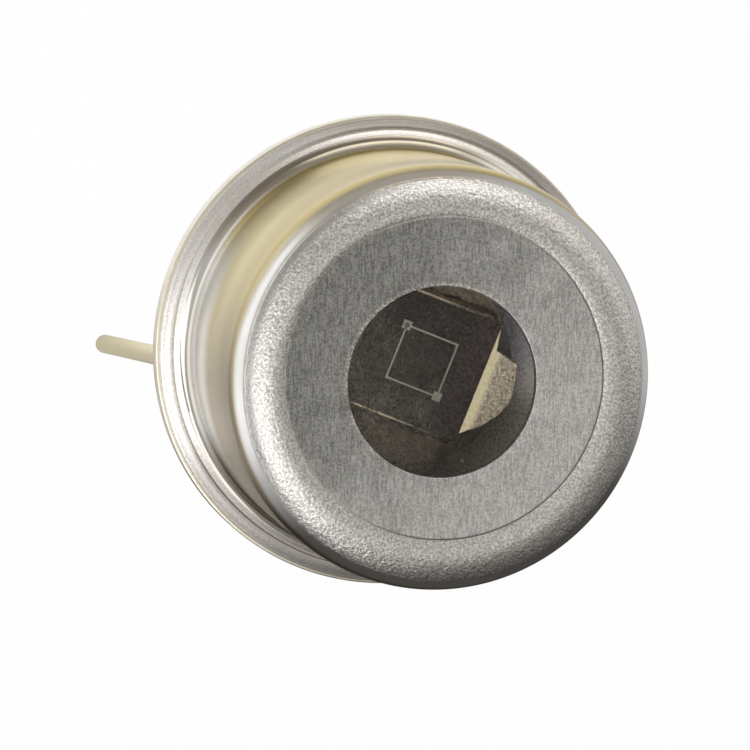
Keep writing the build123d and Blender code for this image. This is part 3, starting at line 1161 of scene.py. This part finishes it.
def pedestal_gold():
    """Gold plate, painted brown and clouded as painted shade, with a painted lit side, painted glints and a
    painted dark violet reflection in one corner.
    """
    paint = Paint("pedestal_gold")
    place = paint.place()
    across, along = beside_chip(paint, place)
    grain = paint.speckle(place, 13.0, 4.0, 0.7)
    cloud = paint.speckle(place, 1.6, 3.0)
    # Painted glints: bright spots on the painted lit side.
    painted_glints = paint.cells(place, 9.0).fall(0.06, 0.12) * along.rise(1.2, 1.3)
    # Painted light and shade: a brown shaded copy of the gold, and a lit copy on one side of the chip.
    brown = paint.mix(cloud.rise(0.35, 0.65), (0.26, 0.19, 0.12), (0.52, 0.40, 0.28))
    lit = paint.mix(grain.rise(0.4, 0.6), (0.62, 0.48, 0.36), (0.99, 0.84, 0.66))
    brown = paint.mix(along.rise(0.9, 1.2), brown, lit)
    # Painted dark reflection: violet in the corner beyond the chip.
    violet = paint.mix(grain.rise(0.3, 0.7), (0.42, 0.37, 0.44), (0.66, 0.60, 0.68))
    tone = paint.mix(across.rise(1.15, 1.30) * along.rise(0.5, 0.9), brown, violet)
    tone = paint.mix(painted_glints, tone, (0.98, 0.90, 0.72))
    return paint.finish(paint.surface({
        "Base Color": tone,
        "Metallic": 0.45 - 0.3 * painted_glints.most(along.rise(0.9, 1.2)),
        "Roughness": 0.42 + 0.20 * (grain - 0.5),
        "Normal": paint.relief(grain, 0.012),
    }))


# %% The solder's metal


def solder_metal():
    """Gold-rich solder: bright, finely crystalline."""
    paint = Paint("solder_metal")
    place = paint.place()
    across, along = beside_chip(paint, place)
    grain = paint.speckle(place, 22.0, 3.0, 0.7)
    cloud = paint.speckle(place, 3.0, 3.0)
    crystals = paint.cells(place, 16.0)
    frosted = across.rise(1.34, 1.44)
    deep = paint.mix(grain.rise(0.38, 0.62), (0.52, 0.40, 0.28), (0.99, 0.91, 0.76))
    pale = paint.mix(grain.rise(0.35, 0.65), (0.86, 0.73, 0.44), (0.99, 0.91, 0.68))
    # Painted light and shade: a dark shaded copy of the solder on the chip's far sides, and a lit copy on one
    # side.
    dark = paint.mix(grain.rise(0.4, 0.6), (0.10, 0.07, 0.045), (0.30, 0.22, 0.15))
    lit = paint.mix(grain.rise(0.4, 0.6), (0.44, 0.34, 0.25), (0.98, 0.82, 0.66))
    dark = paint.mix(along.rise(0.8, 1.2), dark, lit)
    # Painted highlights: pale spots on one side.
    painted_bright_spots = (0.8 * cloud + 0.6 * grain - 0.25 * abs(across + 0.3)).rise(0.45, 0.75)
    patchy = paint.mix(painted_bright_spots * along.fall(-1.0, 0.0), dark, pale)
    # Painted highlight: the solder along the chip's side towards the pool stays pale, while the other sides
    # take the painted shade.
    pale = paint.mix(across.fall(1.15, 1.19), pale, patchy)
    return paint.finish(paint.surface({
        "Base Color": paint.mix(frosted, pale, deep),
        "Metallic": 1 - 0.2 * frosted,
        "Roughness": 0.22 + 0.10 * frosted,
        "Normal": paint.relief((0.6 * crystals + 0.4 * grain) * (0.1 + 0.9 * frosted), 0.012),
    }))


# %% Dress the pedestal and the solder
dress(pedestal_block, pedestal_gold(), "gold_plate", "pedestal")
solder_paint = solder_metal()
dress(die_solder, solder_paint, "solder", "die_attach")
dress(solder_pool, solder_paint, "solder")

# %% [markdown]
# ## The bond wire
# A wire thinner than a hair joins the chip to the anode's post. Its start is melted into a
# ball and pressed on the contact, it rises in a loop so that heat can't pull it tight, and
# its end is squashed on the post's head, the stitch. The loop is a Bezier curve, worked out
# here as points so that the same `wire` lofts it, with the radius changing along its way.

# %% The bond wire's ends
contact_size = 1.10
contact_line = 0.04
wire_radius = 0.0125
ball_radius = 0.045
bond_high = high("bond_wire")
contact_top = high("contact_ring").z
pad_reach = (contact_size - contact_line) / 2
pad_at = chip_middle + Matrix.Rotation(math.radians(chip_turn), 3, "Z") @ Vector((-pad_reach, pad_reach, 0.0))
to_post = Vector((pin_x, 0.0, 0.0)) - pad_at
way = to_post.normalized()
print(f"bond wire: spans {to_post.length:.2f} mm")

# %% The bond wire: ball, loop and stitch


def bezier(points, steps=48):
    """Points on the Bezier curve with these handles."""
    out = []
    for share in np.linspace(0, 1, steps):
        level = [Vector(p) for p in points]
        while len(level) > 1:
            level = [a.lerp(b, share) for a, b in zip(level, level[1:])]
        out.append(level[0])
    return out


crest = bond_high.z - wire_radius
stitch = Vector((pin_x, 0.0, post_top + wire_radius))
loop_path = bezier([
    pad_at + Vector((0, 0, contact_top + 0.03)),
    pad_at + Vector((0, 0, crest + 0.12)),
    pad_at + way * to_post.length * 0.35 + Vector((0, 0, crest + 0.05)),
    stitch - way * 0.55 + Vector((0, 0, 0.22)),
    stitch - way * 0.08,
])
ball_path = [pad_at + Vector((0, 0, contact_top + h)) for h in (0.0, 0.0, 0.006, 0.024, 0.028)]
ball_radii = [0, ball_radius - 0.008, ball_radius, ball_radius, ball_radius - 0.012]
loop_radii = [wire_radius] * len(loop_path)
end_path = [stitch + way * d - Vector((0, 0, 0.006)) for d in (0.0, 0.07, 0.08, 0.08)]
end_radii = [wire_radius * 0.9, wire_radius * 0.6, wire_radius * 0.4, 0]
bond_path = ball_path + loop_path + end_path
bond_radii = ball_radii + loop_radii + end_radii
bond = wire("bond", bond_path, bond_radii, way.cross(Vector((0, 0, 1))), points=16)
bond_gold = gold_plate("bond_gold", (0.34, 0.29, 0.22), (0.26, 0.22, 0.17), 0.35)
dress(bond, bond_gold, "contact_metal", "bond_wire")

# %% [markdown]
# ## Solids that stay
# The chip, its contact ring, the window, the frit, the weld and the brazes have simple
# shapes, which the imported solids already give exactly. New meshes would add nothing one can
# see, so the solids stay and only get their finishes.

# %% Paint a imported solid


def paint_solid(node, material):
    """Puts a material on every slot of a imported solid."""
    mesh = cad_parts[node].data
    mesh.materials.clear()
    mesh.materials.append(material)
    print(f"{node}: {material.name}")


# %% [markdown]
# ## The chip and its contact
# The chip is polished and takes a coating that looks nearly black, a little violet towards
# one side. It isn't a metal, so a low IOR keeps its reflection weak. The contact's lines
# are finer than they could be modelled safely: the paint leaves their edges dark and lets
# only the middle and the corner pads shine.

# %% The chip's face


def chip_black():
    """A polished semiconductor face: nearly black, warm, a little clouded and dusty."""
    paint = Paint("chip_black")
    place = paint.place()
    across, _ = beside_chip(paint, place)
    cloud = paint.speckle(place, 1.2, 2.0)
    grain = paint.speckle(place, 15.0, 4.0, 0.8)
    dust = paint.cells(place, 3.6).fall(0.03, 0.05)
    warm = paint.mix(grain.rise(0.35, 0.65), (0.006, 0.004, 0.002), (0.115, 0.088, 0.066))
    violet = paint.mix(grain.rise(0.35, 0.65), (0.060, 0.036, 0.035), (0.215, 0.150, 0.148))
    tone = paint.mix((across + 0.6 * (cloud - 0.5)).rise(0.3, 1.0), warm, violet)
    tone = paint.mix(dust * 0.4, tone, (0.35, 0.33, 0.30))
    return paint.finish(paint.surface({
        "Base Color": tone,
        "Roughness": 0.30 + 0.2 * (grain - 0.5),
        "IOR": 1.30,
        "Normal": paint.relief(grain, 0.002),
    }))


# %% The contact's metal


def contact_metal():
    """Bright metal with a dark feathered edge, so that the lines look finer than they are."""
    paint = Paint("contact_metal")
    place = paint.place()
    across, along = [abs(distance) for distance in beside_chip(paint, place)]
    off_line = across.most(along) - pad_reach
    line = abs(off_line).fall(0.013, 0.021)
    pad = across.least(along).rise(pad_reach - 0.090, pad_reach - 0.080)
    pad *= across.most(along).fall(pad_reach + 0.080, pad_reach + 0.090)
    grain = paint.speckle(place, 40.0, 3.0)
    bright = paint.mix(grain.rise(0.3, 0.7), (0.62, 0.60, 0.53), (0.84, 0.82, 0.74))
    tone = paint.mix(line.most(pad), (0.05, 0.045, 0.04), bright)
    return paint.finish(paint.surface({
        "Base Color": tone,
        "Metallic": 0.6 * line.most(pad),
        "Roughness": 0.45 + 0.15 * (grain - 0.5),
        "Normal": paint.relief(grain, 0.002),
    }))


paint_solid("chip", chip_black())
paint_solid("contact_ring", contact_metal())

# %% [markdown]
# ## The window
# The window is a disc of clear glass that lets ultraviolet through. A glass shader would
# bend and absorb light at both faces and need many bounces, for a thin disc that bends
# nothing one can see. Transparent mixed with a little mirror by Fresnel looks the same and
# is clean. A third shader, mixed in by noise, is the haze and dust on it.

# %% The window


def window_glass():
    """Clear glass: see-through, a reflection that grows at a slant, a haze and a little dust."""
    paint = Paint("window_glass")
    place = paint.place()
    x, _, _ = paint.parts(place)
    cloud = paint.speckle(place, 1.4, 4.0, 0.6)
    fuzz = paint.speckle(paint.stretch(place, (1.6, 1.0, 1.0), 15.0), 16.0, 4.0, 0.8)
    haze = (cloud - 0.25 * x).rise(0.45, 1.10)
    dust = paint.cells(place, 3.2).fall(0.030, 0.055)
    clear = paint.node("ShaderNodeBsdfTransparent", None, {"Color": (0.97, 0.975, 0.97, 1.0)})
    gloss = paint.node("ShaderNodeBsdfGlossy", None, {"Roughness": 0.03})
    mirror = paint.node("ShaderNodeFresnel", None, {"IOR": 1.22})
    glass = paint.blend(mirror, clear, gloss)
    grey = paint.surface({"Base Color": (0.70, 0.62, 0.54, 1.0), "Roughness": 0.8, "IOR": 1.1})
    dirt = ((0.03 + 0.20 * haze) * fuzz.rise(0.35, 0.65)).most(dust * 0.6)
    return paint.finish(paint.blend(dirt, glass, grey))


paint_solid("window", window_glass())
paint_solid("window_seal", glass_paint)

# %% [markdown]
# ## Metal that melted
# The weld and the brazes were liquid for a moment and froze lumpy, with skins of uneven
# tone. They hide under the can and in the hollow, so one plain finish with three numbers
# serves for both, grey for the weld and golden for the brazes.

# %% The weld and the brazes


def rough_metal(name, dark, light, rough):
    """Metal that melted and froze: lumpy and uneven in tone."""
    paint = Paint(name)
    place = paint.place()
    lumps = paint.speckle(place, 7.0, 4.0, 0.6)
    tone = paint.mix(lumps.rise(0.3, 0.7), dark, light)
    return paint.finish(paint.surface({
        "Base Color": tone,
        "Metallic": 1.0,
        "Roughness": rough + 0.2 * (lumps - 0.5),
        "Normal": paint.relief(lumps, 0.03),
    }))


paint_solid("weld_ring", rough_metal("weld_metal", (0.26, 0.24, 0.22), (0.50, 0.47, 0.42), 0.45))
braze_paint = rough_metal("braze_metal", (0.62, 0.50, 0.30), (0.88, 0.77, 0.52), 0.30)
paint_solid("cathode_braze", braze_paint)
paint_solid("pedestal_braze", braze_paint)

# %% [markdown]
# ## Floor
# The part stands on its lead tips on a white floor, which is also the background, because
# the camera looks almost straight down the can. A floor lit like the part would come out a
# light grey, so a glow that only the camera and the window's glass see makes it white, and
# under the glow it is ordinary matte paint, which keeps the part's shadow.
# The can mirrors the floor as well. In its reflections the floor glows too, but only behind
# the part, near by on all of that side and far out only towards the left. In front it is
# dark, as if the table ended there. The wall and the shoulder get their dark and light
# bands from that.

# %% The floor
floor_size = 1.2
floor_glow = 0.985


def matte(paint, colour):
    return paint.node("ShaderNodeBsdfDiffuse", None, {"Color": (*colour, 1.0)})


def floor_white():
    paint = Paint("floor_white")
    rays = paint.outlets("ShaderNodeLightPath")
    place = paint.place()
    x, y, _ = paint.parts(place)
    radius = paint.off_axis(place)
    front = ((0.6 * y + 0.45 * abs(x)) / radius).fall(-0.15, 0.25)
    near = 0.5 + 0.5 * (y / radius).rise(-0.1, 0.7)
    far = 0.42 + 0.58 * ((0.42 * y - 0.91 * x) / radius).rise(0.6, 0.9)
    behind = (1 - front) * (near + (far - near) * radius.rise(15.0, 32.0))
    seen = rays["Is Camera Ray"].most(rays["Is Transmission Ray"]) * floor_glow
    mirrored = rays["Is Glossy Ray"] * (0.03 + 0.95 * behind)
    lit = paint.blend(behind, matte(paint, (0.22, 0.21, 0.20)), matte(paint, (0.92, 0.92, 0.92)))
    lit = paint.blend(rays["Is Glossy Ray"] * 0.85, lit, matte(paint, (0.02, 0.015, 0.01)))
    glow = paint.node("ShaderNodeEmission", None, {"Color": (1.0, 1.0, 1.0, 1.0), "Strength": 1.0})
    return paint.finish(paint.blend(seen.most(mirrored), lit, glow))


bpy.ops.mesh.primitive_plane_add(size=floor_size, location=(0, 0, cad_box[0][2]))
floor = bpy.context.object
floor.name = "floor"
floor.data.materials.append(floor_white())
print(f"floor: {floor_size:.1f} m wide, {floor.location.z / mm:.2f} mm from the seat")

# %% [markdown]
# ## Light
# Metal shows its surroundings more than it shows its lamps, so the room is as much a part
# of its looks as the paint. The room here is dim and warm with a pale ceiling: the face,
# which looks up, mirrors the ceiling, and the wall mirrors the dim sides.
# One broad soft lamp at the left models the shoulder and its dents. A low one behind the
# part draws the light on the flange's far side. There is no lamp behind the camera, because
# it would wash out the face's streaks.

# %% The room


def studio_world():
    """A dim warm room with a pale ceiling: paler behind the part and at its left, dark in front."""
    room = Paint("studio", world=True)
    x, y, z = room.parts(room.node("ShaderNodeTexCoord", output="Generated"))
    pale = 0.10 + 0.20 * x.most(0.0) + 0.35 * (-x).most(0.0) + 0.22 * y.most(0.0)
    pale += 0.50 * (z - 0.15 * y).rise(0.74, 0.97)
    pale += 0.60 * (0.82 * x + 0.57 * y).rise(0.40, 0.80) * z.fall(0.50, 0.72)
    tone = room.mix(pale, (0.0, 0.0, 0.0), (1.0, 0.97, 0.91))
    return room.finish(room.node("ShaderNodeBackground", None, {"Color": tone, "Strength": 1.0}))


bpy.context.scene.world = studio_world()
print("world:", bpy.context.scene.world.name)

# %% Two soft lamps
lit_point = Vector((0, 0, 3))


def soft_lamp(name, azimuth, elevation, distance, width, height, radiance):
    """A soft lamp that faces the part. Distance, width and height are in millimetres."""
    lamp = bpy.data.lights.new(name, "AREA")
    lamp.shape = "RECTANGLE"
    lamp.size = width * mm
    lamp.size_y = height * mm
    lamp.energy = radiance * math.pi * width * height * mm ** 2
    holder = bpy.data.objects.new(name, lamp)
    bpy.context.scene.collection.objects.link(holder)
    way = toward(azimuth, elevation)
    holder.location = (lit_point + way * distance) * mm
    holder.rotation_euler = way.to_track_quat("Z", "Y").to_euler()
    holder.visible_camera = False
    print(f"{name}: {lamp.energy * 1000:.1f} mW at {distance} mm")
    return holder


soft_lamp("key", azimuth=192, elevation=40, distance=105, width=125, height=65, radiance=1.7)
soft_lamp("back", azimuth=68, elevation=24, distance=100, width=80, height=40, radiance=1.25)

# %% [markdown]
# ## Camera
# The camera looks down on the face from 13 degrees off the can's axis, so that the wall
# shows as a crescent on the near side and hides behind the shoulder on the far side.
# A Track To constraint could aim it, but not roll it. Its distance, its angles and its roll
# are written as such, and its matrix is built from three directions: right, up and back.

# %% The camera
view_distance = 88.94
view_azimuth = 135.35
view_elevation = 76.99
view_up = 75.79
view_aim = Vector((-0.81, 0.03, 3.0))
focal_length = 225.4

back = toward(view_azimuth, view_elevation)
right = toward(view_up).cross(back).normalized()
above = back.cross(right)
lens = bpy.data.cameras.new("camera")
lens.lens = focal_length
lens.clip_start = 0.001
camera = bpy.data.objects.new("camera", lens)
bpy.context.scene.collection.objects.link(camera)
camera.matrix_world = Matrix.Translation((view_aim + back * view_distance) * mm) @ Matrix(
    (right, above, back)
).transposed().to_4x4()
bpy.context.scene.camera = camera
bpy.context.scene.view_settings.view_transform = "Standard"
print(f"camera: {view_distance:.0f} mm away, {view_elevation:.0f} degrees up")
